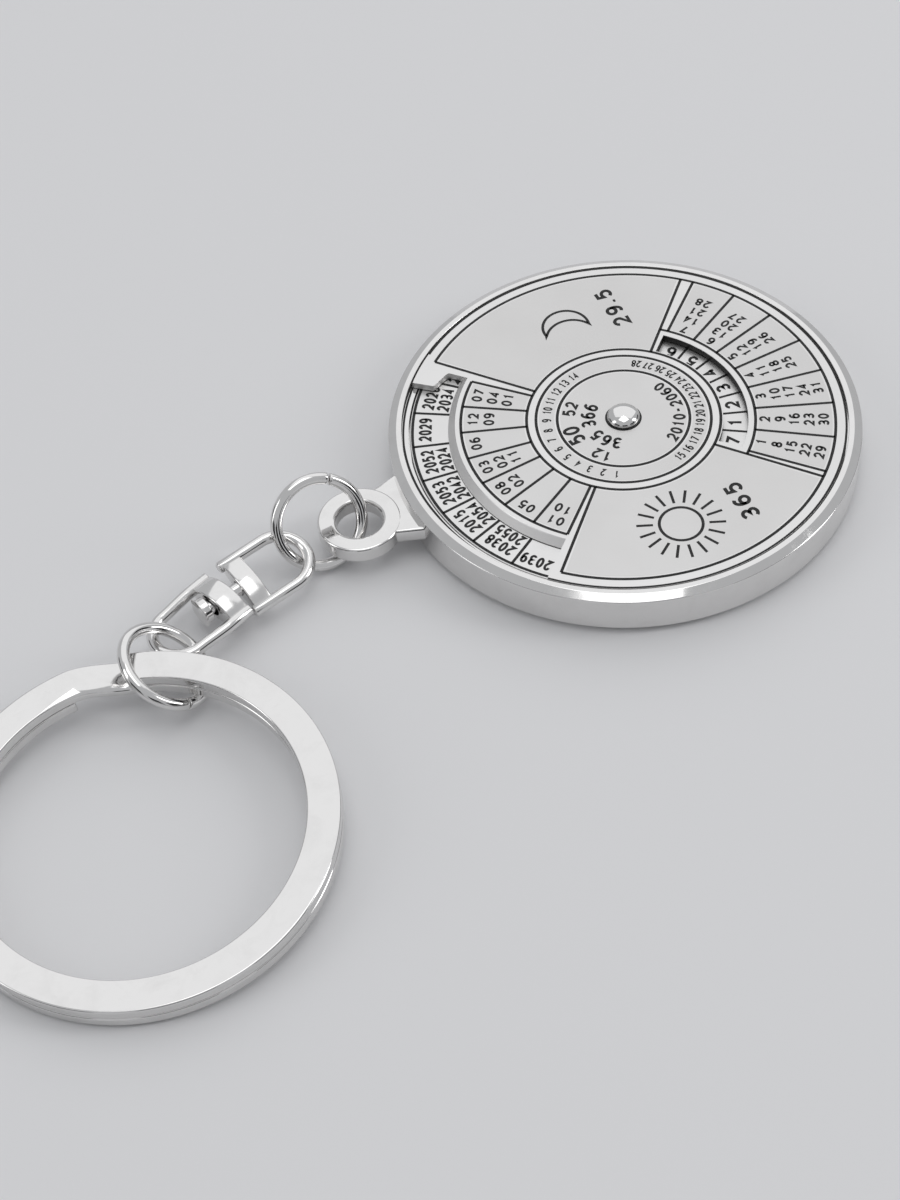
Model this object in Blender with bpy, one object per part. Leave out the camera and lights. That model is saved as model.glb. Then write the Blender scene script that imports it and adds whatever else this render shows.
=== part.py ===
# Perpetual calendar keyring: a round die-cast case with a turning year dial under a windowed
# face plate, and a chain of jump rings and a swivel that carries a flat two-turn split ring.
# Metres, +Z up. The origin is the middle of the case's back face, which lies on the table,
# and the tab with the eye points along -X. Run it with blender --background --python part.py.

from math import asin, cos, degrees, hypot, pi, radians, sin

import bmesh
import bpy
from mathutils import Matrix, Vector

# Case: a shallow round tray with a rim, a neck and an eye
case_radius = 0.020
case_thickness = 0.004
foot_bevel = 0.0005
rim_width = 0.00115
rim_land = 0.00045
rim_drop = 0.00035
plate_seat_width = 0.00055
neck_root_width = 0.0070
neck_waist_width = 0.00534
neck_thickness = 0.0014
eye_reach = 0.0042
eye_outer_radius = 0.0035
eye_hole_radius = 0.00195
eye_thickness = 0.0015
eye_drop = 0.00100
eye_bevel = 0.00022
neck_sink = 0.00006

# Turning parts inside the tray, from the top down
plate_inset = 0.00005
plate_thickness = 0.0006
plate_edge_gap = 0.0001
plate_bevel = 0.00008
plate_rest_gap = 0.00005
dial_thickness = 0.0008
dial_running_gap = 0.00008
dial_edge_gap = 0.0001
dial_lift = 0.00012
washer_radius = 0.0030
washer_thickness = 0.0002
washer_well_depth = 0.0004
washer_rest_gap = 0.00003
washer_side_gap = 0.0003

# Openings of the face plate
week_window_inner_radius = 0.0084
week_window_outer_radius = 0.0105
year_notch_inner_radius = 0.0149
year_notch_slope = 0.0006
window_half_angle = 45.0
notch_half_angle = 45.5
tongue_angle = 6.5
tongue_inner_radius = 0.0160
tongue_round = 0.0009

# Domed rivet in the middle of the case
rivet_head_radius = 0.00138
rivet_head_height = 0.00080
rivet_head_skirt = 0.00012
rivet_shank_radius = 0.0010
rivet_running_gap = 0.0001
rivet_press_gap = 0.00003
rivet_tip_bevel = 0.00015
rivet_back_web = 0.0008

# Jump rings: round wire bent to a circle and closed to a fine cut
wire_radius = 0.00052
jump_ring_radius = 0.00367
ring_cut = 0.00015
ring_cut_step = 0.00012

# Swivel: a loop and a tapered frame, each with an arched block, on one loose rivet
leg_radius = 0.00052
loop_width = 0.0050
loop_reach = 0.0071
loop_block_length = 0.0017
loop_leg_overhang = 0.00025
loop_crown_height = 0.0018
leg_end_round = 0.00012
frame_width = 0.00514
frame_end_width = 0.0047
frame_shoulder = 0.0005
frame_reach = 0.00788
frame_block_length = 0.0019
frame_crown_height = 0.0025
block_edge_height = 0.0005
block_bevel = 0.00015
block_gap = 0.00016
pin_radius = 0.0006
pin_gap = 0.00008
pin_stake_depth = 0.0003
pin_stake_flare = 0.00012
pin_head_radius = 0.0011
pin_head_length = 0.0009
pin_flange_radius = 0.00128
pin_flange_thickness = 0.00028
pin_end_radius = 0.0009
pin_head_gap = 0.00012

# Split ring: flat strip wound twice, with a joggle between its two ends
split_outer_radius = 0.01553
strip_width = 0.00259
strip_thickness = 0.0010
turn_gap = 0.0001
strip_bevel = 0.00014
joggle_angle = 19.5
table_gap = 0.00004

# Seats: the play that is left between one link and the next
eye_seat_gap = 0.0004
loop_seat_gap = 0.00026
frame_seat_gap = 0.0008
band_seat_gap = 0.0003

# How the links lie on the table, in degrees
eye_seat_angle = 185.5
upper_ring_turn = 273.9
upper_ring_tilt = 57.2
upper_eye_side = 16.0
upper_loop_side = -56.9
upper_ring_cut_side = 150.0
loop_seat_angle = 3.8
swivel_turn = 15.0
swivel_slope = 2.0
loop_roll = 12.4
frame_lean = 8.4
frame_roll = -1.2
frame_seat_angle = 42.8
lower_ring_turn = -17.8
lower_ring_tilt = 35.2
lower_frame_side = 51.0
lower_band_side = -109.0
lower_ring_cut_side = -60.0
band_seat_angle = 63.6
split_raised_turn = 44.0
top_end_angle = 74.5

# The swing axes lean out of the level of the wire that each link swings on, in degrees,
# so that they stand square to the crossing of the two wires
upper_swing_skew = -10.0
upper_swing_lift = 20.0
link_swing_lift = -20.0

# Fineness of the round shapes, how far cutters run past what they cut, and the corners
# that shade as one surface, in degrees
round_steps = 96
small_steps = 32
wire_steps = 48
wire_sides = 12
arc_steps = 20
dome_steps = 8
bevel_steps = 2
block_bevel_steps = 1
strip_steps_per_turn = 72
cut_overrun = 0.001
merge_distance = 0.000001

soft_corner = 30.0
wire_soft_corner = 50.0
swivel_soft_corner = 42.0

steel = (0.80, 0.79, 0.78, 1.0)
satin = (0.72, 0.71, 0.71, 1.0)
polished = 0.12
brushed = 0.38
spring_finish = 0.35


def clear_scene():
    for thing in list(bpy.data.objects):
        bpy.data.objects.remove(thing)


def metal(name, colour, roughness):
    material = bpy.data.materials.new(name)
    material.use_nodes = True
    shader = material.node_tree.nodes["Principled BSDF"]
    shader.inputs["Base Color"].default_value = colour
    shader.inputs["Metallic"].default_value = 1.0
    shader.inputs["Roughness"].default_value = roughness
    return material


def add_object(name, mesh_shape, material=None, matrix=None):
    bmesh.ops.recalc_face_normals(mesh_shape, faces=mesh_shape.faces)
    mesh = bpy.data.meshes.new(name)
    mesh_shape.to_mesh(mesh)
    mesh_shape.free()
    if material:
        mesh.materials.append(material)
    thing = bpy.data.objects.new(name, mesh)
    bpy.context.scene.collection.objects.link(thing)
    if matrix:
        thing.matrix_world = matrix
    return thing


def add_pivot(name, matrix, parent=None):
    pivot = bpy.data.objects.new(name, None)
    bpy.context.scene.collection.objects.link(pivot)
    pivot.empty_display_size = wire_radius
    attach(pivot, parent, matrix)
    return pivot


def attach(thing, parent, matrix):
    # keeps the world matrix that is given, whatever the parent's own is
    bpy.context.view_layer.update()
    if parent:
        thing.parent = parent
        thing.matrix_parent_inverse = parent.matrix_world.inverted()
    thing.matrix_world = matrix
    bpy.context.view_layer.update()


def revolve(profile, steps):
    # turns (radius, height) points about Z; points on the axis close the shape
    shape = bmesh.new()
    rows = [shape.verts.new((radius, 0, height)) for radius, height in profile]
    edges = [shape.edges.new(pair) for pair in zip(rows, rows[1:])]
    if profile[0][0] > 0:
        edges.append(shape.edges.new((rows[-1], rows[0])))
    bmesh.ops.spin(shape, geom=rows + edges, cent=(0, 0, 0), axis=(0, 0, 1),
                   angle=2 * pi, steps=steps, use_merge=True)
    axis_points = [vert for vert in shape.verts if hypot(vert.co.x, vert.co.y) < merge_distance]
    bmesh.ops.remove_doubles(shape, verts=axis_points, dist=merge_distance)
    return shape


def extrude_outline(low_points, high_points, low, high):
    # a prism whose lower and upper outlines may differ, for sloped walls
    shape = bmesh.new()
    bottom = [shape.verts.new((x, y, low)) for x, y in low_points]
    top = [shape.verts.new((x, y, high)) for x, y in high_points]
    shape.faces.new(bottom[::-1])
    shape.faces.new(top)
    count = len(bottom)
    for index in range(count):
        after = (index + 1) % count
        shape.faces.new((bottom[index], bottom[after], top[after], top[index]))
    return shape


def polar(radius, angle):
    return (radius * cos(radians(angle)), radius * sin(radians(angle)))


def flat_point(radius, angle, height=0):
    return Vector((*polar(radius, angle), height))


def spaced(start, end, count):
    return [start + (end - start) * index / count for index in range(count + 1)]


def sweep(path, tangents, section, end_inset=0):
    # runs a flat section of (side, up) points along a path; up is each point's own normal,
    # and the first and last sections may be drawn in to round the ends off
    shape = bmesh.new()
    rings = []
    reach = max(hypot(across, rise) for across, rise in section)
    for index, ((point, up), tangent) in enumerate(zip(path, tangents)):
        side = tangent.cross(up).normalized()
        share = 1 - end_inset / reach if index in (0, len(path) - 1) else 1
        rings.append([shape.verts.new(point + (side * across + up * rise) * share)
                      for across, rise in section])
    for near, far in zip(rings, rings[1:]):
        for index in range(len(section)):
            after = (index + 1) % len(section)
            shape.faces.new((near[index], near[after], far[after], far[index]))
    shape.faces.new(rings[0][::-1])
    shape.faces.new(rings[-1])
    return shape


def round_section(radius, sides):
    turn = [2 * pi * index / sides for index in range(sides)]
    return [(radius * cos(angle), radius * sin(angle)) for angle in turn]


def path_tangents(points):
    last = len(points) - 1
    return [(points[min(index + 1, last)] - points[max(index - 1, 0)]).normalized()
            for index in range(len(points))]


def flat_tube(points, radius, sides, end_round):
    # a round bar whose middle line lies in the local XY plane, its two ends rounded off
    up = Vector((0, 0, 1))
    places = [Vector((x, y, 0)) for x, y in points]
    tangents = path_tangents(places)
    places.insert(1, places[0] + tangents[0] * end_round)
    places.insert(-1, places[-1] - tangents[-1] * end_round)
    return sweep([(place, up) for place in places], path_tangents(places),
                 round_section(radius, sides), end_round)


def apply_boolean(target, tool, operation):
    cut = target.modifiers.new(operation.lower(), "BOOLEAN")
    cut.operation = operation
    cut.object = tool
    cut.solver = "EXACT"
    tool.hide_render = True
    tool.display_type = "WIRE"
    bpy.context.view_layer.update()
    seen = target.evaluated_get(bpy.context.evaluated_depsgraph_get())
    result = bpy.data.meshes.new_from_object(seen)
    target.modifiers.clear()
    target.data = result
    bpy.data.objects.remove(tool)


def smooth(thing, angle=soft_corner):
    thing.data.shade_smooth()
    thing.data.set_sharp_from_angle(angle=radians(angle))


def bevel_edges(shape, edges, width, segments=bevel_steps):
    bmesh.ops.bevel(shape, geom=edges, offset=width, offset_type="OFFSET", segments=segments,
                    affect="EDGES", profile=0.5, material=-1)


def level_edges(shape):
    return [edge for edge in shape.edges
            if abs(edge.verts[0].co.z - edge.verts[1].co.z) < merge_distance]


# Heights of the stack in the tray
rim_inner_radius = case_radius - rim_width
dial_pocket_radius = rim_inner_radius - plate_seat_width
plate_top = case_thickness - plate_inset
plate_bottom = plate_top - plate_thickness
plate_seat_top = plate_bottom - plate_rest_gap
dial_top = plate_bottom - dial_running_gap
dial_bottom = dial_top - dial_thickness
floor_top = dial_bottom - dial_lift
well_floor = floor_top - washer_well_depth

# The eye and its wall
eye_x = -(case_radius + eye_reach)
eye_top = case_thickness - eye_drop
eye_bottom = eye_top - eye_thickness
eye_wall = eye_outer_radius - eye_hole_radius
eye_wall_middle = (eye_outer_radius + eye_hole_radius) / 2
eye_middle_height = (eye_top + eye_bottom) / 2


def make_case(material):
    press_hole = rivet_shank_radius + rivet_press_gap
    tray = revolve([
        (0, 0),
        (case_radius - foot_bevel, 0),
        (case_radius, foot_bevel),
        (case_radius, case_thickness - rim_drop),
        (rim_inner_radius + rim_land, case_thickness),
        (rim_inner_radius, case_thickness),
        (rim_inner_radius, plate_seat_top),
        (dial_pocket_radius, plate_seat_top),
        (dial_pocket_radius, floor_top),
        (washer_radius + washer_side_gap, floor_top),
        (washer_radius + washer_side_gap, well_floor),
        (press_hole, well_floor),
        (press_hole, rivet_back_web),
        (0, rivet_back_web),
    ], round_steps)
    case = add_object("case", tray, material)

    # The neck is a tapered bar from the rim's root to the eye's waist
    root_x = -(case_radius - rim_width / 2)
    waist_x = eye_x + (eye_outer_radius ** 2 - (neck_waist_width / 2) ** 2) ** 0.5
    slope = (neck_root_width - neck_waist_width) / 2 / (root_x - waist_x)
    inner_half = neck_waist_width / 2 + slope * (eye_x - waist_x)
    outline = [(root_x, -neck_root_width / 2), (root_x, neck_root_width / 2),
               (eye_x, inner_half), (eye_x, -inner_half)]
    neck_top = eye_top - neck_sink
    neck = extrude_outline(outline[::-1], outline[::-1], neck_top - neck_thickness, neck_top)
    bevel_edges(neck, level_edges(neck), eye_bevel)
    apply_boolean(case, add_object("neck", neck), "UNION")

    boss = revolve([
        (0, eye_bottom),
        (eye_outer_radius - eye_bevel, eye_bottom),
        (eye_outer_radius, eye_bottom + eye_bevel),
        (eye_outer_radius, eye_top - eye_bevel),
        (eye_outer_radius - eye_bevel, eye_top),
        (0, eye_top),
    ], wire_steps)
    bmesh.ops.translate(boss, vec=(eye_x, 0, 0), verts=boss.verts)
    apply_boolean(case, add_object("eye", boss), "UNION")

    mouth = eye_hole_radius + eye_bevel
    drill = revolve([
        (0, eye_bottom - cut_overrun),
        (mouth, eye_bottom - cut_overrun),
        (mouth, eye_bottom),
        (eye_hole_radius, eye_bottom + eye_bevel),
        (eye_hole_radius, eye_top - eye_bevel),
        (mouth, eye_top),
        (mouth, eye_top + cut_overrun),
        (0, eye_top + cut_overrun),
    ], wire_steps)
    bmesh.ops.translate(drill, vec=(eye_x, 0, 0), verts=drill.verts)
    apply_boolean(case, add_object("eye_drill", drill), "DIFFERENCE")
    smooth(case)
    return case


def make_year_dial(material):
    radius = dial_pocket_radius - dial_edge_gap
    bore = rivet_shank_radius + rivet_running_gap
    ring = revolve([
        (bore, dial_bottom),
        (radius - plate_bevel, dial_bottom),
        (radius, dial_bottom + plate_bevel),
        (radius, dial_top - plate_bevel),
        (radius - plate_bevel, dial_top),
        (bore, dial_top),
    ], round_steps)
    dial = add_object("year_dial", ring, material)
    smooth(dial)
    return dial


def notch_outline(inner_radius):
    # Seen from above, round the tab's side: out along one end, in along the other.
    # The end at the lower angles carries a tongue that laps over the first year.
    start = 180.0 - notch_half_angle
    end = 180.0 + notch_half_angle
    outside = case_radius + cut_overrun
    points = [polar(inner_radius, angle) for angle in spaced(end, start, arc_steps * 2)]
    for step in spaced(0, 1, arc_steps // 2):
        bend = step * step * (3 - 2 * step)
        points.append(polar(tongue_inner_radius + tongue_round * step, start + tongue_angle * bend))
    tip = start + tongue_angle
    points += [polar(outside, angle) for angle in spaced(tip, end, arc_steps * 2)]
    return points


def make_face_plate(material):
    radius = rim_inner_radius - plate_edge_gap
    bore = rivet_shank_radius + rivet_running_gap
    ring = revolve([
        (bore, plate_bottom),
        (radius, plate_bottom),
        (radius, plate_top - plate_bevel),
        (radius - plate_bevel, plate_top),
        (bore, plate_top),
    ], round_steps)
    plate = add_object("face_plate", ring, material)

    low = plate_bottom - cut_overrun
    high = plate_top + cut_overrun
    spread = year_notch_slope / plate_thickness
    low_radius = year_notch_inner_radius + spread * cut_overrun
    high_radius = year_notch_inner_radius - year_notch_slope - spread * cut_overrun
    notch = extrude_outline(notch_outline(low_radius), notch_outline(high_radius), low, high)
    apply_boolean(plate, add_object("year_notch", notch), "DIFFERENCE")

    angles = spaced(-window_half_angle, window_half_angle, arc_steps)
    outline = [polar(week_window_outer_radius, angle) for angle in angles]
    outline += [polar(week_window_inner_radius, angle) for angle in angles[::-1]]
    window = extrude_outline(outline, outline, low, high)
    apply_boolean(plate, add_object("week_window", window), "DIFFERENCE")
    smooth(plate)
    return plate


def make_spring_washer(material):
    # A shallow cone: its outer edge sits in the well and its inner edge lifts the dial
    bore = rivet_shank_radius + rivet_running_gap
    low = well_floor + washer_rest_gap
    high = dial_bottom - washer_rest_gap
    cone = revolve([
        (bore, high - washer_thickness),
        (washer_radius, low),
        (washer_radius, low + washer_thickness),
        (bore, high),
    ], wire_steps)
    washer = add_object("spring_washer", cone, material)
    smooth(washer)
    return washer


def make_centre_rivet(material):
    head_base = plate_top + plate_rest_gap
    skirt = head_base + rivet_head_skirt
    rise = rivet_head_height - rivet_head_skirt
    tip = rivet_back_web + rivet_press_gap
    profile = [(0, tip), (rivet_shank_radius - rivet_tip_bevel, tip),
               (rivet_shank_radius, tip + rivet_tip_bevel),
               (rivet_shank_radius, head_base), (rivet_head_radius, head_base)]
    for angle in spaced(0, 90, dome_steps)[:-1]:
        profile.append((rivet_head_radius * cos(radians(angle)), skirt + rise * sin(radians(angle))))
    profile.append((0, skirt + rise))
    rivet = add_object("centre_rivet", revolve(profile, small_steps), material)
    smooth(rivet)
    return rivet


def ring_matrix(centre, turn, tilt):
    # local Z leans by the tilt towards the turn; local X points down the slope
    return (Matrix.Translation(centre) @ Matrix.Rotation(radians(turn), 4, "Z")
            @ Matrix.Rotation(radians(tilt), 4, "Y"))


def jump_ring_shape(cut_side):
    half_cut = degrees(ring_cut / 2 / jump_ring_radius)
    angles = spaced(cut_side + half_cut, cut_side + 360 - half_cut, wire_steps)
    heights = spaced(-ring_cut_step / 2, ring_cut_step / 2, wire_steps)
    up = Vector((0, 0, 1))
    path = [(flat_point(jump_ring_radius, angle, height), up)
            for angle, height in zip(angles, heights)]
    tangents = [flat_point(1, angle + 90) for angle in angles]
    return sweep(path, tangents, round_section(wire_radius, wire_sides))


def arched_block(start, length, width, crown_height):
    # a bar between the legs with arched top and bottom; its thin edges lie inside the legs
    end_half = block_edge_height / 2
    crown_half = crown_height / 2
    half = width / 2
    arch = [(half * share, end_half + (crown_half - end_half) * (1 - share * share))
            for share in spaced(-1, 1, arc_steps // 2)]
    section = arch + [(across, -rise) for across, rise in arch[::-1]]
    block = extrude_outline(section, section, start, start + length)
    bevel_edges(block, level_edges(block), block_bevel, block_bevel_steps)
    # stand the extrusion on its side: its length runs along X, its width along Y
    bmesh.ops.transform(block, verts=block.verts,
                        matrix=Matrix(((0, 0, 1, 0), (1, 0, 0, 0), (0, 1, 0, 0), (0, 0, 0, 1))))
    return block


def axial_turning(profile, steps):
    # a turned shape whose axis is X; the profile's second value is the place along X
    shape = revolve(profile, steps)
    bmesh.ops.transform(shape, verts=shape.verts, matrix=Matrix.Rotation(pi / 2, 4, "Y"))
    return shape


# The blocks' faces stay clear of each other at the side where the loose frame leans in
lean_reach = (frame_width / 2 + leg_radius) * sin(radians(frame_lean))
block_spacing = block_gap + lean_reach
loop_leg_start = block_spacing / 2
loop_block_start = loop_leg_start + loop_leg_overhang
frame_block_start = block_spacing / 2
frame_lean_place = frame_block_start + frame_block_length / 2
pin_hole_radius = ((pin_radius + pin_gap + frame_block_length / 2 * sin(radians(frame_lean)))
                   / cos(radians(frame_lean)))
pin_head_start = (frame_block_start + frame_block_length + pin_head_gap
                  + pin_flange_radius * sin(radians(frame_lean)))


def make_swivel_loop(material, matrix):
    radius = loop_width / 2
    arc = [(loop_reach - radius + radius * cos(radians(angle)), radius * sin(radians(angle)))
           for angle in spaced(-90, 90, arc_steps)]
    path = [(loop_leg_start, -radius)] + arc + [(loop_leg_start, radius)]
    wire = flat_tube(path, leg_radius, wire_sides, leg_end_round)
    loop = add_object("swivel_loop", wire, material)
    block = arched_block(loop_block_start, loop_block_length, loop_width, loop_crown_height)
    apply_boolean(loop, add_object("loop_block", block), "UNION")
    stake = loop_block_start + loop_block_length
    bore = pin_radius + pin_gap
    drill = axial_turning([
        (0, loop_block_start - cut_overrun),
        (bore, loop_block_start - cut_overrun),
        (bore, stake - pin_stake_depth),
        (bore + pin_stake_flare, stake),
        (bore + pin_stake_flare, stake + cut_overrun / 2),
        (0, stake + cut_overrun / 2),
    ], small_steps)
    apply_boolean(loop, add_object("loop_drill", drill), "DIFFERENCE")
    smooth(loop, swivel_soft_corner)
    loop.matrix_world = matrix
    return loop


def make_swivel_rivet(material, matrix):
    stake = loop_block_start + loop_block_length
    head_end = pin_head_start + pin_head_length
    rivet = axial_turning([
        (0, -head_end),
        (pin_end_radius, -head_end),
        (pin_flange_radius, -head_end + pin_flange_thickness / 2),
        (pin_flange_radius, -head_end + pin_flange_thickness),
        (pin_head_radius, -head_end + pin_flange_thickness),
        (pin_head_radius, -pin_head_start),
        (pin_radius, -pin_head_start),
        (pin_radius, stake - pin_stake_depth),
        (pin_radius + pin_stake_flare, stake),
        (0, stake),
    ], small_steps)
    thing = add_object("swivel_rivet", rivet, material, matrix)
    smooth(thing)
    return thing


def make_swivel_frame(material, matrix):
    radius = frame_end_width / 2
    half = frame_width / 2
    shoulder = frame_block_start + frame_block_length + frame_shoulder
    arc = [(-(frame_reach - radius) - radius * cos(radians(angle)), radius * sin(radians(angle)))
           for angle in spaced(-90, 90, arc_steps)]
    path = [(-frame_block_start, -half), (-shoulder, -half)] + arc
    path += [(-shoulder, half), (-frame_block_start, half)]
    wire = flat_tube(path, leg_radius, wire_sides, leg_end_round)
    frame = add_object("swivel_frame", wire, material)
    start = -(frame_block_start + frame_block_length)
    block = arched_block(start, frame_block_length, frame_width, frame_crown_height)
    apply_boolean(frame, add_object("frame_block", block), "UNION")
    drill = axial_turning([
        (0, start - cut_overrun / 2),
        (pin_hole_radius, start - cut_overrun / 2),
        (pin_hole_radius, cut_overrun),
        (0, cut_overrun),
    ], small_steps)
    apply_boolean(frame, add_object("frame_drill", drill), "DIFFERENCE")
    smooth(frame, swivel_soft_corner)
    frame.matrix_world = matrix
    return frame


def make_split_ring(material, matrix):
    # The strip starts at its lower end, runs round once, climbs in the joggle onto its own
    # back, and runs round again until its upper end meets the joggle
    middle = split_outer_radius - strip_width / 2
    pitch = strip_thickness + turn_gap
    low_end = top_end_angle + joggle_angle
    total = 720 - joggle_angle
    count = round(strip_steps_per_turn * total / 360)
    half_width = strip_width / 2
    half_height = strip_thickness / 2
    section = [(-half_width, -half_height + strip_bevel), (-half_width + strip_bevel, -half_height),
               (half_width - strip_bevel, -half_height), (half_width, -half_height + strip_bevel),
               (half_width, half_height - strip_bevel), (half_width - strip_bevel, half_height),
               (-half_width + strip_bevel, half_height), (-half_width, half_height - strip_bevel)]
    path = []
    tangents = []
    up = Vector((0, 0, 1))
    for along in spaced(0, total, count):
        climb = min(max((along - (360 - joggle_angle)) / joggle_angle, 0), 1)
        lift = climb * climb * (3 - 2 * climb)
        height = -half_height - pitch * (1 - lift)
        path.append((flat_point(middle, low_end + along, height), up))
        tangents.append(flat_point(1, low_end + along + 90))
    ring = add_object("split_ring", sweep(path, tangents, section), material, matrix)
    smooth(ring)
    return ring


def swing_turn(seat_angle, lift):
    # the pivot's local Y is the swing axis: along the wire at the seat, then leaning up
    return Matrix.Rotation(radians(seat_angle), 4, "Z") @ Matrix.Rotation(radians(lift), 4, "X")


def chain_places():
    # Each link's place follows from the one before it and the play left between them
    places = {}
    inside = jump_ring_radius - wire_radius

    wall_point = Vector((eye_x, 0, eye_middle_height)) + flat_point(eye_wall_middle, eye_seat_angle)
    wall_reach = hypot(eye_wall, eye_thickness) / 2
    turned = ring_matrix((0, 0, 0), upper_ring_turn, upper_ring_tilt)
    to_wall = turned @ flat_point(inside - wall_reach - eye_seat_gap, upper_eye_side)
    upper_centre = wall_point - to_wall
    places["upper_hinge"] = (Matrix.Translation(wall_point)
                             @ swing_turn(eye_seat_angle + upper_swing_skew, upper_swing_lift))
    places["upper_ring"] = ring_matrix(upper_centre, upper_ring_turn, upper_ring_tilt)

    bar_point = upper_centre + turned @ flat_point(inside - leg_radius - loop_seat_gap, upper_loop_side)
    axis_turn = (Matrix.Rotation(radians(swivel_turn), 4, "Z")
                 @ Matrix.Rotation(radians(-swivel_slope), 4, "Y"))
    loop_turn = axis_turn @ Matrix.Rotation(radians(loop_roll), 4, "X")
    radius = loop_width / 2
    seat = radians(loop_seat_angle)
    bar_local = Vector((loop_reach - radius + radius * cos(seat), radius * sin(seat), 0))
    swivel_centre = bar_point - loop_turn @ bar_local
    places["loop_hinge"] = (Matrix.Translation(bar_point) @ loop_turn
                            @ swing_turn(loop_seat_angle, link_swing_lift))
    places["loop"] = Matrix.Translation(swivel_centre) @ loop_turn
    places["spin"] = Matrix.Translation(swivel_centre) @ axis_turn

    lean = (Matrix.Translation((-frame_lean_place, 0, 0)) @ Matrix.Rotation(radians(frame_lean), 4, "Z")
            @ Matrix.Translation((frame_lean_place, 0, 0)) @ Matrix.Rotation(radians(frame_roll), 4, "X"))
    places["frame"] = places["spin"] @ lean

    radius = frame_end_width / 2
    seat = radians(frame_seat_angle)
    end_local = Vector((-(frame_reach - radius) - radius * cos(seat), -radius * sin(seat), 0))
    end_point = places["frame"] @ end_local
    turned = ring_matrix((0, 0, 0), lower_ring_turn, lower_ring_tilt)
    to_frame = turned @ flat_point(inside - leg_radius - frame_seat_gap, lower_frame_side)
    lower_centre = end_point - to_frame
    places["lower_hinge"] = (Matrix.Translation(end_point) @ places["frame"].to_3x3().to_4x4()
                             @ swing_turn(frame_seat_angle, link_swing_lift))
    places["lower_ring"] = ring_matrix(lower_centre, lower_ring_turn, lower_ring_tilt)

    stack = 2 * strip_thickness + turn_gap
    middle = split_outer_radius - strip_width / 2
    band_reach = hypot(strip_width, stack / sin(radians(lower_ring_tilt))) / 2
    band_point = lower_centre + turned @ flat_point(inside - band_reach - band_seat_gap, lower_band_side)
    # The far side of the ring lies on the table, so its tilt follows from the raised point
    span = middle * cos(radians(band_seat_angle - split_raised_turn)) + split_outer_radius
    tilt = asin((band_point.z - stack / 2 - table_gap) / span)
    lean_axis = flat_point(1, split_raised_turn - 90)
    split_turn = Matrix.Rotation(tilt, 4, lean_axis)
    band_local = flat_point(middle, band_seat_angle, -stack / 2)
    places["split"] = Matrix.Translation(band_point - split_turn @ band_local) @ split_turn
    places["split_hinge"] = (Matrix.Translation(band_point) @ split_turn
                             @ swing_turn(band_seat_angle, link_swing_lift))
    return places


def build():
    clear_scene()
    chrome = {name: metal(name + "_metal", steel, polished) for name in
              ("case", "centre_rivet", "jump_ring_upper", "swivel_loop", "swivel_rivet",
               "swivel_frame", "jump_ring_lower", "split_ring")}
    make_case(chrome["case"])
    make_spring_washer(metal("washer_steel", steel, spring_finish))
    dial_pivot = add_pivot("dial_pivot", Matrix())
    attach(make_year_dial(metal("dial_satin", satin, brushed)), dial_pivot, Matrix())
    make_face_plate(metal("plate_satin", satin, brushed))
    make_centre_rivet(chrome["centre_rivet"])

    places = chain_places()
    upper_pivot = add_pivot("upper_ring_pivot", places["upper_hinge"])
    loop_pivot = add_pivot("loop_pivot", places["loop_hinge"], upper_pivot)
    spin_pivot = add_pivot("spin_pivot", places["spin"], loop_pivot)
    lower_pivot = add_pivot("lower_ring_pivot", places["lower_hinge"], spin_pivot)
    split_pivot = add_pivot("split_ring_pivot", places["split_hinge"], lower_pivot)

    upper = add_object("jump_ring_upper", jump_ring_shape(upper_ring_cut_side), chrome["jump_ring_upper"])
    lower = add_object("jump_ring_lower", jump_ring_shape(lower_ring_cut_side), chrome["jump_ring_lower"])
    for ring in (upper, lower):
        smooth(ring, wire_soft_corner)
    attach(upper, upper_pivot, places["upper_ring"])
    attach(make_swivel_loop(chrome["swivel_loop"], places["loop"]), loop_pivot, places["loop"])
    attach(make_swivel_rivet(chrome["swivel_rivet"], places["spin"]), loop_pivot, places["spin"])
    attach(make_swivel_frame(chrome["swivel_frame"], places["frame"]), spin_pivot, places["frame"])
    attach(lower, lower_pivot, places["lower_ring"])
    attach(make_split_ring(chrome["split_ring"], places["split"]), split_pivot, places["split"])
    return places


build()
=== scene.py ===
# Perpetual calendar keyring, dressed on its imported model: chrome case and chain, satin dials,
# and black filled engraving. Metres, +Z up, the tab with the eye points along -X.

from math import cos, degrees, pi, radians, sin, tan

import bmesh
import bpy
from mathutils import Matrix, Vector


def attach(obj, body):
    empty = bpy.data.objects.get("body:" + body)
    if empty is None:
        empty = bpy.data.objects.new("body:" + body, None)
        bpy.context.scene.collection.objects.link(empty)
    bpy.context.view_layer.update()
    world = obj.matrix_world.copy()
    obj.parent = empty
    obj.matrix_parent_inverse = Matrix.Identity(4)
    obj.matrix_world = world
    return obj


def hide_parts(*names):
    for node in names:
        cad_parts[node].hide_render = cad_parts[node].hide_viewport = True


mm = 0.001
tiny = 0.0004 * mm  # points closer than this are one point
levelRise = 0.001 * mm  # edges that rise less than this are level
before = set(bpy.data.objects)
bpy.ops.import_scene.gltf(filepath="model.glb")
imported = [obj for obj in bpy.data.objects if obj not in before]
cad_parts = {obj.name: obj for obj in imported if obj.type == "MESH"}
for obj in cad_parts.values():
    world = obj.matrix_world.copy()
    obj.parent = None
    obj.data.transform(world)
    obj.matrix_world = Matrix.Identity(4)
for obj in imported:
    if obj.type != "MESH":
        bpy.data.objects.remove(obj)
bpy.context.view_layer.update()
print("frame loaded:", len(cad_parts), "nodes")


class Values(dict):
    # a dictionary whose entries can be read like attributes
    __getattr__ = dict.__getitem__


def lengths(**values):
    # lengths written in millimetres
    return {name: value * mm for name, value in values.items()}


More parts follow.
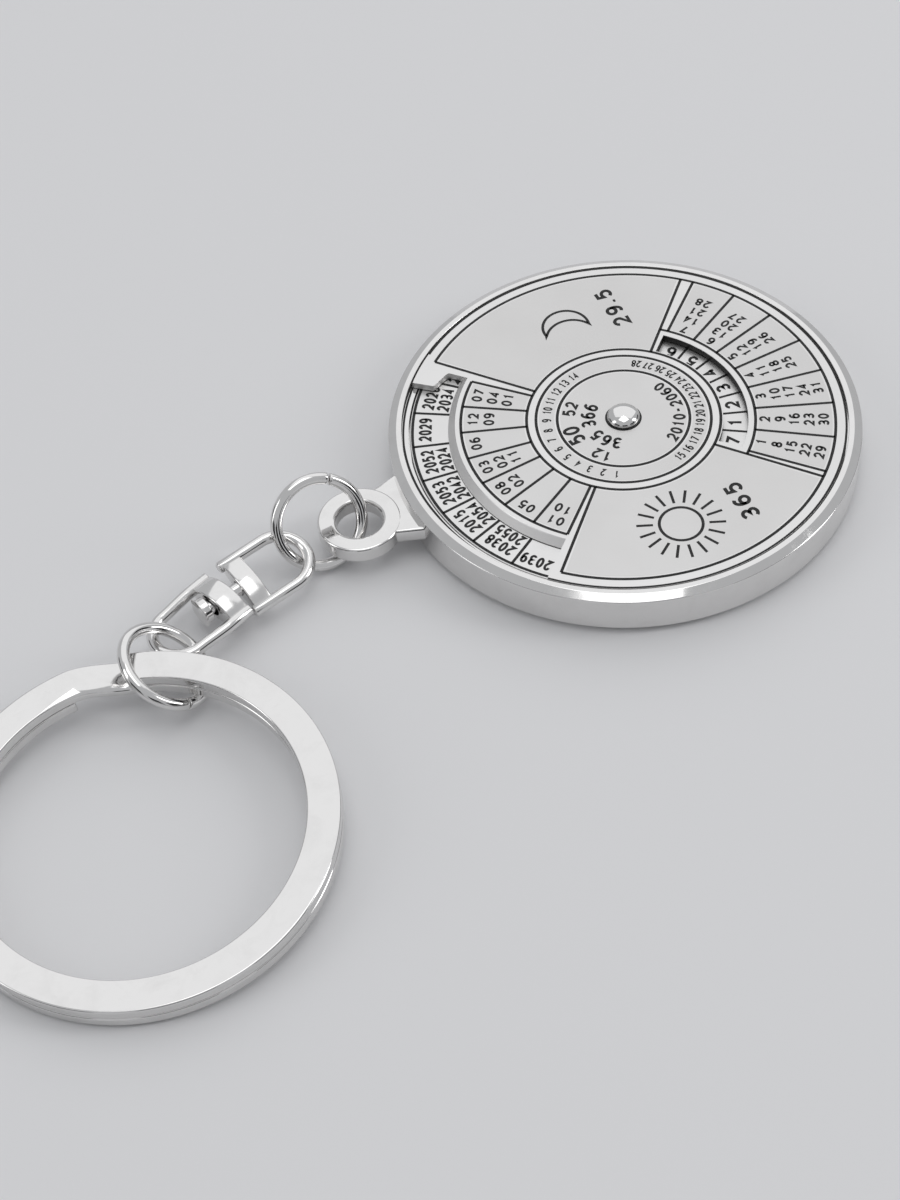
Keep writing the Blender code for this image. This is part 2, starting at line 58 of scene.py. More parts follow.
# Shader maths: sockets add and multiply like numbers, and 1 - mask works
class Wire:
    def __init__(self, finish, socket):
        self.finish = finish
        self.socket = socket

    def maths(self, operation, first, second):
        return self.finish.add("ShaderNodeMath", {"operation": operation}, [first, second])

    def __add__(self, other):
        return self.maths("ADD", self, other)

    def __rsub__(self, other):
        return self.maths("SUBTRACT", other, self)

    def __mul__(self, other):
        return self.maths("MULTIPLY", self, other)

    __radd__ = __add__
    __rmul__ = __mul__

    def clamp(self, low, high, toLow=0.0, toHigh=1.0):
        # a straight ramp between two levels
        inputs = {0: self, 1: low, 2: high, 3: toLow, 4: toHigh}
        return self.finish.add("ShaderNodeMapRange", {"clamp": True}, inputs)


class Finish:
    def __init__(self, name):
        self.material = bpy.data.materials.new(name)
        self.material.use_nodes = True
        self.tree = self.material.node_tree
        self.shader = self.tree.nodes["Principled BSDF"]

    def add(self, kind, settings=None, inputs=(), output=0):
        node = self.tree.nodes.new(kind)
        for name, value in (settings or {}).items():
            setattr(node, name, value)
        pairs = inputs.items() if isinstance(inputs, dict) else enumerate(inputs)
        for key, value in pairs:
            self.put(node.inputs[key], value)
        return Wire(self, node.outputs[output])

    def put(self, socket, value):
        if isinstance(value, Wire):
            self.tree.links.new(value.socket, socket)
        else:
            socket.default_value = value

    def place(self):
        return self.add("ShaderNodeTexCoord", output="Object")

    def height(self):
        return self.add("ShaderNodeSeparateXYZ", None, [self.place()], output=2)

    def distance(self):
        # how far a point lies from the Z axis
        flat = self.add("ShaderNodeMapping", None, {"Vector": self.place(), "Scale": (1, 1, 0)})
        return self.add("ShaderNodeVectorMath", {"operation": "LENGTH"}, [flat], output="Value")

    def noise(self, size, detail=2.0, roughness=0.5, at=None, distortion=0.0):
        inputs = {"Vector": at or self.place(), "Scale": 1.0 / size, "Detail": detail,
                  "Roughness": roughness, "Distortion": distortion}
        return self.add("ShaderNodeTexNoise", None, inputs)

    def stretch(self, scale, turn):
        return self.add("ShaderNodeMapping", None,
                        {"Vector": self.place(), "Scale": scale, "Rotation": turn})

    def blend(self, factor, first, second):
        settings = {"data_type": "RGBA"}
        return self.add("ShaderNodeMix", settings, {0: factor, 6: first, 7: second}, output=2)

    def bump(self, height, depth):
        # depth is the height's full swing in metres
        return self.add("ShaderNodeBump", None,
                        {"Strength": 1.0, "Distance": depth, "Height": height})

    def dress(self, **values):
        for name, value in values.items():
            self.put(self.shader.inputs[name.replace("_", " ")], value)
        return self.material


def grey(level, warm=0.0):
    return (level * (1 + warm), level, level * (1 - warm), 1.0)


# Chrome plating: bright, with faint smudges, a soft ripple and a few hairlines
chromeLook = Values(lengths(
    smudgeSize=2.6, rippleSize=1.6, ripple=0.0004, hairSize=0.05, hair=0.00008),
    bright=grey(0.75, 0.010), dull=grey(0.67, 0.012), dulled=0.5, gloss=0.055, smudged=0.15,
    smudgeCut=(0.46, 0.72), hairStretch=0.02, hairCut=(0.55, 0.75), hairTurn=0.7)


def makeChrome(name, turn, **changes):
    look = Values(chromeLook, **changes)
    finish = Finish(name)
    smudge = finish.noise(look.smudgeSize, detail=4.0, roughness=0.62, distortion=0.4)
    smudge = smudge.clamp(*look.smudgeCut)
    ripple = finish.noise(look.rippleSize, detail=1.0)
    along = finish.stretch((look.hairStretch, 1.0, 1.0), (0, 0, turn))
    hairs = finish.noise(look.hairSize, detail=1.0, at=along).clamp(*look.hairCut)
    relief = finish.bump(ripple + hairs * (look.hair / look.ripple), look.ripple)
    colour = finish.blend(smudge * look.dulled, look.bright, look.dull)
    return finish.dress(Base_Color=colour, Metallic=1.0, Normal=relief,
                        Roughness=smudge.clamp(0, 1, look.gloss, look.smudged))


# Satin plating on the two dials: a fine blasted grain over a slow change of tone
satinLook = Values(lengths(
    toneSize=11.0, speckSize=0.35, grainSize=0.055, grain=0.0008), bright=grey(0.75, 0.008),
    dull=grey(0.715, 0.010), toneCut=(0.35, 0.68), toneShare=0.75, speckCut=(0.60, 0.78),
    speckShare=0.25, smooth=0.34, rough=0.40)
# Below the plate's top its cut edges are duller and rougher, and the weekday window's walls get a
# near-black colour that is painted shade, standing in for the shadow on that wall
wallLookAndShade = Values(lengths(
    foot=3.86, head=3.93, inside=12.0, outside=13.0), window=grey(0.055), slope=grey(0.72, 0.008),
    rough=0.56)


def makeSatin(name, wallsAndShade=None, **changes):
    look = Values(satinLook, **changes)
    finish = Finish(name)
    tone = finish.noise(look.toneSize, detail=3.0, roughness=0.55).clamp(*look.toneCut)
    speck = finish.noise(look.speckSize, detail=3.0, roughness=0.6).clamp(*look.speckCut)
    grain = finish.noise(look.grainSize, roughness=0.6)
    mix = tone * look.toneShare + speck * look.speckShare
    colour = finish.blend(mix, look.bright, look.dull)
    rough = tone.clamp(0, 1, look.smooth, look.rough)
    if wallsAndShade:
        top = finish.height().clamp(wallsAndShade.foot, wallsAndShade.head)
        far = finish.distance().clamp(wallsAndShade.inside, wallsAndShade.outside)
        # the weekday window's walls take the painted shade colour, the other cut edges the duller
        # slope colour
        colour = finish.blend(top, finish.blend(far, wallsAndShade.window, wallsAndShade.slope), colour)
        rough = (1 - top) * wallsAndShade.rough + top * rough
    return finish.dress(Base_Color=colour, Metallic=1.0, Roughness=rough,
                        Normal=finish.bump(grain, look.grain))


# Black paint that fills the engraving: worn a little grey where it meets the metal. The same
# material also draws the lines of painted shade at the seat, the plate's edge and the rivet's foot
paintLook = Values(lengths(
    patchSize=0.30, grainSize=0.04, grain=0.0015), deep=grey(0.010), worn=grey(0.035), sheen=0.3,
    patchCut=(0.45, 0.75), smooth=0.38, rough=0.60)


def makePaint(name, look=paintLook):
    finish = Finish(name)
    patch = finish.noise(look.patchSize, detail=4.0, roughness=0.65).clamp(*look.patchCut)
    grain = finish.noise(look.grainSize)
    colour = finish.blend(patch, look.deep, look.worn)
    return finish.dress(Base_Color=colour, Normal=finish.bump(grain, look.grain),
                        Specular_IOR_Level=look.sheen,
                        Roughness=patch.clamp(0, 1, look.smooth, look.rough))


# The swivel's castings and the split ring's strip are plated over a slightly softer surface
castLook = Values(gloss=0.12, smudged=0.22)
softLooks = {"swivel_loop": castLook, "swivel_rivet": castLook, "swivel_frame": castLook,
             "split_ring": {"gloss": 0.075, "smudged": 0.16}}
chromes = {}
for index, name in enumerate(["case", "centre_rivet", "jump_ring_upper", "swivel_loop",
                              "swivel_rivet", "swivel_frame", "jump_ring_lower", "split_ring"]):
    chromes[name] = makeChrome(name.replace("_", " ") + " chrome", index * chromeLook.hairTurn,
                               **softLooks.get(name, {}))
satinPlateAndShade = makeSatin("plate satin and window shade", wallsAndShade=wallLookAndShade)
satinDial = makeSatin("dial satin", toneSize=5.0 * mm)
washerSteel = makeSatin("spring steel", smooth=0.25, rough=0.36)
# used for the filled engraving and for the painted shade lines
paint = makePaint("engraving paint and painted shade")
print("materials made")


# Mesh helpers
def addObject(name, data):
    thing = bpy.data.objects.new(name, data)
    bpy.context.scene.collection.objects.link(thing)
    return thing


def meshObject(name, shape, material=None):
    mesh = bpy.data.meshes.new(name)
    shape.to_mesh(mesh)
    shape.free()
    if material:
        mesh.materials.append(material)
    return addObject(name, mesh)


def finishPiece(name, shape, material, body, replaced, slot, sharpAngle=32.0):
    # merges the shape, points its faces outwards and hands it to its body
    bmesh.ops.remove_doubles(shape, verts=shape.verts, dist=tiny)
    bmesh.ops.recalc_face_normals(shape, faces=shape.faces)
    piece = meshObject(name, shape, material)
    piece.data.shade_smooth()
    piece.data.set_sharp_from_angle(angle=radians(sharpAngle))
    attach(piece, body)
    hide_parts(replaced)


def solid(shape):
    # a closed shape as an object, ready to be joined or cut
    bmesh.ops.recalc_face_normals(shape, faces=shape.faces)
    return meshObject("solid", shape)


def carve(base, shape, operation):
    # one exact boolean, kept as a plain mesh
    tool = solid(shape)
    change = base.modifiers.new("carve", "BOOLEAN")
    change.operation = operation
    change.object = tool
    change.solver = "EXACT"
    bpy.context.view_layer.update()
    seen = base.evaluated_get(bpy.context.evaluated_depsgraph_get())
    result = bpy.data.meshes.new_from_object(seen)
    base.modifiers.clear()
    base.data = result
    bpy.data.objects.remove(tool)


def move(shape, matrix):
    bmesh.ops.transform(shape, verts=shape.verts, matrix=matrix)
    return shape


def takeShape(thing):
    shape = bmesh.new()
    shape.from_mesh(thing.data)
    bpy.data.objects.remove(thing)
    return shape


def polar(radius, angle):
    return (radius * cos(radians(angle)), radius * sin(radians(angle)))


def spread(start, end, count):
    return [start + (end - start) * step / count for step in range(count + 1)]


def eased(value, start, end):
    # 0 at the start and 1 at the end, with a soft step between
    share = min(max((value - start) / (end - start), 0), 1)
    return share * share * (3 - 2 * share)


def spinProfile(points, steps):
    # revolves (radius, height) points about Z; a profile off the axis is closed on itself
    shape = bmesh.new()
    row = [shape.verts.new((radius, 0, height)) for radius, height in points]
    edges = [shape.edges.new(pair) for pair in zip(row, row[1:])]
    if points[0][0] > 0:
        edges.append(shape.edges.new((row[-1], row[0])))
    bmesh.ops.spin(shape, geom=row + edges, cent=(0, 0, 0), axis=(0, 0, 1), angle=2 * pi,
                   steps=steps, use_merge=True)
    bmesh.ops.remove_doubles(shape, verts=shape.verts, dist=tiny)
    return shape


def prism(shape, outline, low, high):
    # raises a flat outline into a solid and gives back its upper points
    face = shape.faces.new([shape.verts.new((x, y, low)) for x, y in outline])
    grown = bmesh.ops.extrude_face_region(shape, geom=[face])
    lifted = [part for part in grown["geom"] if isinstance(part, bmesh.types.BMVert)]
    bmesh.ops.translate(shape, vec=(0, 0, high - low), verts=lifted)
    return lifted


def bevelLevelEdges(shape, offset, segments):
    level = [edge for edge in shape.edges
             if abs(edge.verts[0].co.z - edge.verts[1].co.z) < levelRise]
    bmesh.ops.bevel(shape, geom=level, offset=offset, offset_type="OFFSET", segments=segments,
                    profile=0.5, affect="EDGES", material=-1)


# A point this close to both ends of each rounding keeps the faces beside it flat in the light
cornerLook = Values(lengths(hold=0.03), steps=4)


def roundCorner(corner, before, after, radius, steps=cornerLook.steps):
    # swaps a corner for a short arc, as points from one tangent to the other
    corner, before, after = Vector(corner), Vector(before), Vector(after)
    inward = (before - corner).normalized()
    outward = (after - corner).normalized()
    half = inward.angle(outward) / 2
    reach = radius / tan(half)
    centre = corner + (inward + outward).normalized() * (radius / sin(half))
    start = corner + inward * reach - centre
    end = corner + outward * reach - centre
    return [tuple(centre + start.slerp(end, share).normalized() * radius)
            for share in spread(0, 1, steps)]


def softProfile(points, radii, hold=cornerLook.hold):
    # rounds the corners of an open profile that have a radius
    result = [points[0]]
    for index in range(1, len(points) - 1):
        if index not in radii:
            result.append(points[index])
            continue
        back, ahead = Vector(points[index - 1]), Vector(points[index + 1])
        arc = roundCorner(points[index], back, ahead, radii[index])
        first, last = Vector(arc[0]), Vector(arc[-1])
        if (first - Vector(result[-1])).length > 2 * hold:
            result.append(tuple(first + (back - first).normalized() * hold))
        result += arc
        if (ahead - last).length > 2 * hold:
            result.append(tuple(last + (ahead - last).normalized() * hold))
    result.append(points[-1])
    return result


def disc(size, *corners):
    # a bored disc, rounded at the corners counted from its lower bore
    profile = [(size.bore, size.bottom), (size.radius, size.bottom), (size.radius, size.top),
               (size.bore, size.top)]
    soft = softProfile(profile, {corner: size.edge for corner in corners})
    return spinProfile(soft, size.steps)


# Case: a cast tray with a rounded rim, a tapered neck and an eye
caseSizes = Values(lengths(
    radius=20.0, thickness=4.0, footBevel=0.5, landRadius=19.3, rimInner=18.85, rimDrop=0.35,
    seatTop=3.30, pocketRadius=18.3, floorTop=2.35, wellRadius=3.3, wellFloor=1.95, rivetHole=1.03,
    backWeb=0.8, footRound=0.20, rimRound=0.08, landRound=0.10, lipRound=0.05, eyeX=-24.2,
    eyeOuter=3.5, eyeHole=1.95, eyeTop=3.0, eyeThickness=1.5, eyeRound=0.22, holeRound=0.34,
    overrun=1.0, neckRoot=7.0, neckWaist=5.34, neckSink=0.06, neckThickness=1.4, rootInset=0.575),
    steps=256, eyeSteps=96, holeSteps=72)


def makeCase(size=caseSizes):
    rim = [
        (0, 0), (size.radius - size.footBevel, 0), (size.radius, size.footBevel),
        (size.radius, size.thickness - size.rimDrop),
        (size.landRadius, size.thickness), (size.rimInner, size.thickness),
        (size.rimInner, size.seatTop), (size.pocketRadius, size.seatTop),
        (size.pocketRadius, size.floorTop), (size.wellRadius, size.floorTop),
        (size.wellRadius, size.wellFloor), (size.rivetHole, size.wellFloor),
        (size.rivetHole, size.backWeb), (0, size.backWeb),
    ]
    radii = {1: size.footRound, 2: size.footRound, 3: size.rimRound,
             4: size.landRound, 5: size.lipRound}
    base = solid(spinProfile(softProfile(rim, radii), size.steps))

    # the neck's sides run on straight under the eye
    rootX = size.rootInset - size.radius
    waistX = size.eyeX + (size.eyeOuter ** 2 - (size.neckWaist / 2) ** 2) ** 0.5
    slope = (size.neckRoot - size.neckWaist) / 2 / (rootX - waistX)
    innerHalf = size.neckWaist / 2 + slope * (size.eyeX - waistX)
    neckTop = size.eyeTop - size.neckSink
    neck = bmesh.new()
    prism(neck, [(rootX, -size.neckRoot / 2), (rootX, size.neckRoot / 2),
                 (size.eyeX, innerHalf), (size.eyeX, -innerHalf)],
          neckTop - size.neckThickness, neckTop)
    bevelLevelEdges(neck, size.eyeRound, 4)
    carve(base, neck, "UNION")

    top, low = size.eyeTop, size.eyeTop - size.eyeThickness
    boss = softProfile([(0, low), (size.eyeOuter, low), (size.eyeOuter, top), (0, top)],
                       {1: size.eyeRound, 2: size.eyeRound})
    toEye = Matrix.Translation((size.eyeX, 0, 0))
    carve(base, move(spinProfile(boss, size.eyeSteps), toEye), "UNION")

    hole, over = size.eyeHole, size.overrun
    mouth = hole + 2 * size.holeRound
    drill = softProfile([(0, low - over), (mouth, low - over), (mouth, low), (hole, low),
                         (hole, top), (mouth, top), (mouth, top + over), (0, top + over)],
                        {3: size.holeRound, 4: size.holeRound})
    carve(base, move(spinProfile(drill, size.holeSteps), toEye), "DIFFERENCE")
    finishPiece("caseShell", takeShape(base), chromes["case"], "case_body", "case", "case_chrome")


makeCase()
print("case made")


# Face plate: a disc with a weekday window and an open year notch
plateSizes = Values(lengths(
    radius=18.75, top=3.95, bottom=3.35, bore=1.1, edge=0.08, windowInner=8.4, windowOuter=10.5,
    notchRadius=14.9, notchSlope=0.6, notchReach=21.0, tongueRadius=16.0, tongueRound=0.9,
    overrun=0.5), steps=256, windowHalf=45.0, windowSteps=90, notchHalf=45.5, notchSteps=120,
    tongueAngle=6.5, tongueSteps=24)


def notchOutline(size, inner):
    start, end = 180 - size.notchHalf, 180 + size.notchHalf
    points = [polar(inner, angle) for angle in spread(end, start, size.notchSteps)]
    for step in spread(0, 1, size.tongueSteps):
        points.append(polar(size.tongueRadius + size.tongueRound * step,
                            start + size.tongueAngle * eased(step, 0, 1)))
    points += [polar(size.notchReach, angle)
               for angle in spread(start + size.tongueAngle, end, size.notchSteps)]
    return points


def makePlate(size=plateSizes):
    bottom, top, over = size.bottom, size.top, size.overrun
    base = solid(disc(size, 2))

    # the notch's inner edge slopes, so the cutter is wider below than above
    beyond = size.notchSlope / (top - bottom) * over
    notch = bmesh.new()
    lifted = prism(notch, notchOutline(size, size.notchRadius + beyond), bottom - over, top + over)
    highLine = notchOutline(size, size.notchRadius - size.notchSlope - beyond)
    for vert, (x, y) in zip(lifted, highLine):
        vert.co.x, vert.co.y = x, y
    carve(base, notch, "DIFFERENCE")

    angles = spread(-size.windowHalf, size.windowHalf, size.windowSteps)
    outline = [polar(size.windowOuter, angle) for angle in angles]
    outline += [polar(size.windowInner, angle) for angle in angles[::-1]]
    window = bmesh.new()
    prism(window, outline, bottom - over, top + over)
    carve(base, window, "DIFFERENCE")
    finishPiece("facePlate", takeShape(base), satinPlateAndShade, "case_body", "face_plate", "plate_satin")


makePlate()
print("face plate made")


# Turned pieces on the case's axis: year dial, spring washer and domed rivet
dialSizes = Values(lengths(bore=1.03, radius=18.2, bottom=2.47, top=3.27, edge=0.10), steps=256)


def makeDial(size=dialSizes):
    finishPiece("yearDial", disc(size, 1, 2), satinDial, "dial", "year_dial", "dial_satin")


washerSizes = Values(lengths(bore=1.03, radius=3.0, low=1.98, high=2.44, thickness=0.2), steps=96)


def makeWasher(size=washerSizes):
    # slightly coned, so that it springs
    profile = [(size.bore, size.high - size.thickness), (size.radius, size.low),
               (size.radius, size.low + size.thickness), (size.bore, size.high)]
    finishPiece("springWasher", spinProfile(profile, size.steps), washerSteel, "case_body",
                "spring_washer", "washer_steel")


rivetSizes = Values(lengths(
    headRadius=1.38, headBase=4.0, skirt=0.12, headTop=4.80, shankRadius=1.0, tip=0.83,
    tipBevel=0.15), arc=20, steps=96)


def makeRivet(size=rivetSizes):
    base = size.headBase + size.skirt
    crown = size.headTop - base
    profile = [(0, size.tip), (size.shankRadius - size.tipBevel, size.tip),
               (size.shankRadius, size.tip + size.tipBevel),
               (size.shankRadius, size.headBase), (size.headRadius, size.headBase)]
    for angle in spread(0, 90, size.arc)[:-1]:
        across, rise = polar(1, angle)
        profile.append((size.headRadius * across, base + crown * rise))
    profile.append((0, size.headTop))
    finishPiece("centreRivet", spinProfile(profile, size.steps), chromes["centre_rivet"],
                "case_body", "centre_rivet", "centre_rivet_chrome")


makeDial()
makeWasher()
makeRivet()
print("turned pieces made")


# Chain: each link is shaped flat about its own middle and then laid in its place
def placement(origin, along, up):
    # origin in millimetres; along and up are the directions of the link's own X and Z
    along, up = Vector(along).normalized(), Vector(up).normalized()
    across = up.cross(along)
    turn = Matrix((along, across, up)).transposed().to_4x4()
    return Matrix.Translation(Vector(origin) * mm) @ turn


# by body
places = {
    "upper_ring": placement((-27.4313, 0.5759, 3.6006), (0.03684, -0.54045, -0.84057),
                           (0.05717, -0.83862, 0.54171)),
    "loop": placement((-36.1699, -2.2497, 2.2295), (0.96534, 0.25866, 0.0349),
                      (0.02265, -0.21624, 0.97608)),
    "frame": placement((-36.2304, -2.0760, 2.2291), (0.91717, 0.39699, 0.03453),
                       (-0.04202, 0.01019, 0.99906)),
    "lower_ring": placement((-43.5819, -7.4877, 2.6840), (0.77803, -0.2498, -0.57643),
                           (0.54884, -0.17621, 0.81714)),
    "key_ring": placement((-50.2726, -20.7686, 3.0555), (0.9991, -0.00087, 0.04249),
                           (-0.04249, -0.04103, 0.99825)),
}


def layPiece(name, shape, body, node, **options):
    finishPiece(name, move(shape, places[body]), chromes[node], body, node, node + "_chrome",
                **options)


def sweep(stations, sections):
    # joins a section of (side, up) points at each (point, tangent) station and closes the ends
    shape = bmesh.new()
    up = Vector((0, 0, 1))
    turns = []
    for (point, tangent), section in zip(stations, sections):
        side = tangent.cross(up).normalized()
        turns.append([shape.verts.new(point + side * across + up * rise)
                      for across, rise in section])
    for near, far in zip(turns, turns[1:]):
        for index in range(len(near)):
            after = (index + 1) % len(near)
            shape.faces.new((near[index], near[after], far[after], far[index]))
    shape.faces.new(turns[0][::-1])
    shape.faces.new(turns[-1])
    return shape


def station(radius, angle, height):
    # a point of a ring about Z, and the way that the ring runs there
    return Vector((*polar(radius, angle), height)), Vector((*polar(1, angle + 90), 0))


def easeEnds(sections, trim, share):
    # rounds both ends over by drawing in their last two sections
    drawn = list(sections)
    for place, scale in ((0, 1 - trim), (1, 1 - trim * share), (-2, 1 - trim * share),
                         (-1, 1 - trim)):
        drawn[place] = [(across * scale, rise * scale) for across, rise in sections[place]]
    return drawn


def circle(radius, sides):
    return [polar(radius, angle) for angle in spread(0, 360, sides)[:-1]]


def tangentsOf(points):
    last = len(points) - 1
    return [(points[min(index + 1, last)] - points[max(index - 1, 0)]).normalized()
            for index in range(len(points))]


ringSizes = Values(lengths(
    radius=3.67, wire=0.505, cut=0.15, cutStep=0.12, endRound=0.07), endSpot=0.4, endShare=0.3,
    upperCut=150, lowerCut=-60, steps=160, sides=28)


def makeJumpRing(name, cutSide, body, node, size=ringSizes):
    # one turn of wire whose ends stand a little apart and out of line
    halfCut = degrees(size.cut / 2 / size.radius)
    ease = degrees(size.endRound / size.radius)
    first, last = cutSide + halfCut, cutSide + 360 - halfCut
    angles = [first, first + ease * size.endSpot]
    angles += spread(first + ease, last - ease, size.steps)
    angles += [last - ease * size.endSpot, last]
    stations = [station(size.radius, angle,
                        size.cutStep * ((angle - first) / (last - first) - 0.5))
                for angle in angles]
    sections = [circle(size.wire, size.sides)] * len(stations)
    sections = easeEnds(sections, size.endRound / size.wire, size.endShare)
    layPiece(name, sweep(stations, sections), body, node)


makeJumpRing("jumpRingUpper", ringSizes.upperCut, "upper_ring", "jump_ring_upper")
makeJumpRing("jumpRingLower", ringSizes.lowerCut, "lower_ring", "jump_ring_lower")
print("jump rings made")


swivelSizes = Values(lengths(
    leg=0.505, legEnd=0.12, loopWidth=5.0, loopReach=7.1, loopLegStart=0.3057,
    loopBlockStart=0.5557, loopBlockLength=1.7, loopCrown=1.8, frameWidth=5.14, frameEnd=4.7,
    frameShoulder=0.5, frameReach=7.88, frameStart=0.3057, frameBlockLength=1.9, frameCrown=2.5,
    blockEdge=0.5, blockBevel=0.15, holeRadius=0.82766, boreRadius=0.68, stakeDepth=0.3,
    stakeFlare=0.12, pin=0.6, headStart=2.51268, headRadius=1.1, headLength=0.9, flangeRadius=1.28,
    flange=0.28, endRadius=0.9, endRound=0.12, flangeRound=0.06, flangeBack=0.05, headRound=0.08,
    innerOverrun=1.0, outerOverrun=0.5), legSides=28, endShare=0.35, arcSteps=48,
    frameCurve=0.45, frameSteps=16, archSteps=32, drillSteps=48, pinSteps=72, sharp=38.0)
# turns a shape's own X, Y and Z to Y, Z and X
crosswise = Matrix(((0, 0, 1, 0), (1, 0, 0, 0), (0, 1, 0, 0), (0, 0, 0, 1)))


def tube(points, size):
    # a round bar along flat points, its two ends eased
    spots = [Vector((x, y, 0)) for x, y in points]
    ways = tangentsOf(spots)
    far, near = size.legEnd, size.legEnd * size.endShare
    spots[1:1] = [spots[0] + ways[0] * near, spots[0] + ways[0] * far]
    spots[-1:-1] = [spots[-1] - ways[-1] * far, spots[-1] - ways[-1] * near]
    sections = [circle(size.leg, size.legSides)] * len(spots)
    return sweep(zip(spots, tangentsOf(spots)), easeEnds(sections, far / size.leg, size.endShare))


def bend(middle, radius, size):
    # the round end of a U that opens towards -X
    points = [polar(radius, angle) for angle in spread(-90, 90, size.arcSteps)]
    return [(middle + x, y) for x, y in points]


def archedBlock(start, length, width, crown, size):
    # the swivel's crossbar: arched above and below, its thin edges inside the legs
    low, high = size.blockEdge / 2, crown / 2
    arch = [(width / 2 * share, low + (high - low) * (1 - share * share))
            for share in spread(-1, 1, size.archSteps)]
    block = bmesh.new()
    prism(block, arch + [(across, -rise) for across, rise in arch[::-1]], start, start + length)
    bevelLevelEdges(block, size.blockBevel, 3)
    return move(block, crosswise)


def turned(profile, steps):
    # a turning whose axis is X; the profile's second value is the place along X
    return move(spinProfile(profile, steps), Matrix.Rotation(pi / 2, 4, "Y"))


def makeLoop(size=swivelSizes):
    radius = size.loopWidth / 2
    path = [(size.loopLegStart, -radius), *bend(size.loopReach - radius, radius, size),
            (size.loopLegStart, radius)]
    base = solid(tube(path, size))
    start, length = size.loopBlockStart, size.loopBlockLength
    carve(base, archedBlock(start, length, size.loopWidth, size.loopCrown, size), "UNION")
    stake = start + length
    bore, flare = size.boreRadius, size.boreRadius + size.stakeFlare
    near, far = start - size.innerOverrun, stake + size.outerOverrun
    drill = turned([(0, near), (bore, near), (bore, stake - size.stakeDepth), (flare, stake),
                    (flare, far), (0, far)], size.drillSteps)
    carve(base, drill, "DIFFERENCE")
    layPiece("swivelLoop", takeShape(base), "loop", "swivel_loop", sharpAngle=size.sharp)


def makeSwivelRivet(size=swivelSizes):
    # a tapered head with a flange, the pin, and its staked end in the loop
    stake = size.loopBlockStart + size.loopBlockLength
    end = -size.headStart - size.headLength
    profile = softProfile([
        (0, end), (size.endRadius, end), (size.flangeRadius, end + size.flange / 2),
        (size.flangeRadius, end + size.flange), (size.headRadius, end + size.flange),
        (size.headRadius, -size.headStart), (size.pin, -size.headStart),
        (size.pin, stake - size.stakeDepth), (size.pin + size.stakeFlare, stake), (0, stake)],
        {1: size.endRound, 2: size.flangeRound, 3: size.flangeBack, 5: size.headRound})
    layPiece("swivelRivet", turned(profile, size.pinSteps), "loop", "swivel_rivet")


def makeFrame(size=swivelSizes):
    radius, half = size.frameEnd / 2, size.frameWidth / 2
    blockEnd = size.frameStart + size.frameBlockLength
    shoulder = blockEnd + size.frameShoulder
    middle = size.frameReach - radius
    # each leg draws in on a slow curve towards the round end
    leg = [(-size.frameStart, -half)]
    for share in spread(0, 1, size.frameSteps)[:-1]:
        ease = eased(share, 0, 1) * size.frameCurve + share * (1 - size.frameCurve)
        leg.append((-shoulder + (shoulder - middle) * share, -half + (half - radius) * ease))
    path = leg + [(-x, y) for x, y in bend(middle, radius, size)] + [(x, -y) for x, y in leg[::-1]]
    base = solid(tube(path, size))
    block = archedBlock(-blockEnd, size.frameBlockLength, size.frameWidth, size.frameCrown, size)
    carve(base, block, "UNION")
    hole = size.holeRadius
    near, far = -blockEnd - size.outerOverrun, size.innerOverrun
    drill = turned([(0, near), (hole, near), (hole, far), (0, far)], size.drillSteps)
    carve(base, drill, "DIFFERENCE")
    layPiece("swivelFrame", takeShape(base), "frame", "swivel_frame", sharpAngle=size.sharp)


makeLoop()
makeSwivelRivet()
makeFrame()
print("swivel made")


# Angles along the strip, in degrees, count from its lower end
splitSizes = Values(lengths(
    outer=15.53, width=2.59, thickness=1.0, gap=0.1, edge=0.14, endRound=0.09, pinchWidth=1.95,
    pinchDepth=0.5), edgeSteps=3, joggle=19.5, topEnd=74.5, stepsPerTurn=300,
    endSpots=(0.12, 0.36), endShare=0.4, pinchStart=331, pinchFull=343, pinchEase=350,
    pinchEnd=374, pinchSteps=8)


def makeSplitRing(size=splitSizes):
    # two flat turns of one strip: it climbs over its own lower end in a short joggle
    middle = size.outer - size.width / 2
    pitch = size.thickness + size.gap
    lowEnd = size.topEnd + size.joggle
    total = 720 - size.joggle
    half, rise, edge = size.width / 2, size.thickness / 2, size.edge
    corners = [Vector(spot) for spot in ((-half, -rise), (half, -rise), (half, rise),
                                         (-half, rise))]
    parts = []
    for index, corner in enumerate(corners):
        before, after = corners[index - 1], corners[(index + 1) % 4]
        steps = size.pinchSteps if index == 3 else size.edgeSteps
        reach = edge + cornerLook.hold
        parts.append([tuple(corner + (before - corner).normalized() * reach),
                      *roundCorner(corner, before, after, edge, steps),
                      tuple(corner + (after - corner).normalized() * reach)])
    plain, inner = parts[0] + parts[1] + parts[2], parts[3]

    count = round(size.stepsPerTurn * total / 360)
    near, far = (total / count * share for share in size.endSpots)
    spots = spread(0, total, count)
    spots[1:1] = [near, far]
    spots[-1:-1] = [total - far, total - near]
    stations, sections = [], []
    for along in spots:
        lift = eased(along, 360 - size.joggle, 360)
        stations.append(station(middle, lowEnd + along, -rise - pitch * (1 - lift)))
        # the bend that made the joggle pinched the strip's inner upper edge round
        pinch = (eased(along, size.pinchStart, size.pinchFull)
                 * eased(along, size.pinchEnd, size.pinchEase))
        wide = 1 + (size.pinchWidth / edge - 1) * pinch
        deep = 1 + (size.pinchDepth / edge - 1) * pinch
        sections.append(plain + [(-half + (across + half) * wide, rise - (rise - high) * deep)
                                 for across, high in inner])
    sections = easeEnds(sections, size.endRound / half, size.endShare)
    layPiece("splitRing", sweep(stations, sections), "key_ring", "split_ring")


makeSplitRing()
print("split ring made")


